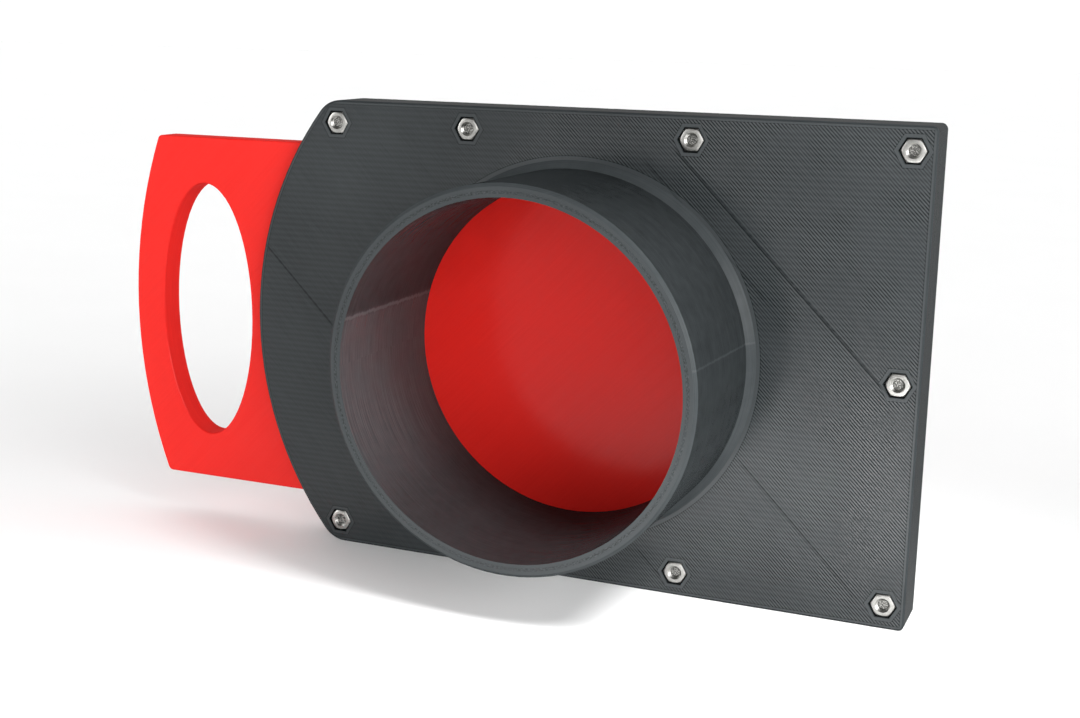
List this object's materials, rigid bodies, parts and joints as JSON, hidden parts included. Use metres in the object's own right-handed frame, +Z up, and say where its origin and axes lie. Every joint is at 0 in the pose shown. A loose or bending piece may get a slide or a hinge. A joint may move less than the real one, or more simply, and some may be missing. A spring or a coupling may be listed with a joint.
{
  "type": "sliding duct blast gate",
  "caption": "Manual slide gate that shuts a round dust-extraction duct: two collared housing halves clamp a flat gate with a finger hole, held by hex nuts and button-head screws.",
  "frame": {"origin": "on the duct axis, in the plane of the front housing's flat face", "axes": "+X away from the handle along the gate's travel, +Y from the front collar to the rear collar along the duct, +Z up"},
  "size_m": [0.286, 0.1244, 0.1552],
  "materials": {
    "housing_plastic": "dark grey layered print, satin-matte",
    "gate_plastic": "red layered print, satin-matte",
    "steel": "zinc-plated steel"
  },
  "bodies": {
    "housing": {"front_housing": "housing_plastic", "rear_housing": "housing_plastic", "nut_end": "steel", "nut_top_1": "steel", "nut_top_2": "steel", "nut_top_3": "steel", "nut_top_4": "steel", "nut_bottom_1": "steel", "nut_bottom_2": "steel", "nut_bottom_3": "steel", "nut_bottom_4": "steel", "screw_end": "steel", "screw_top_1": "steel", "screw_top_2": "steel", "screw_top_3": "steel", "screw_top_4": "steel", "screw_bottom_1": "steel", "screw_bottom_2": "steel", "screw_bottom_3": "steel", "screw_bottom_4": "steel"},
    "gate": {"slide_gate": "gate_plastic"}
  },
  "joints": [
    {"name": "gate_slide", "type": "slide", "parent": "housing", "child": "gate", "axis": [-1, 0, 0], "range_m": [0, 0.155]}
  ]
}
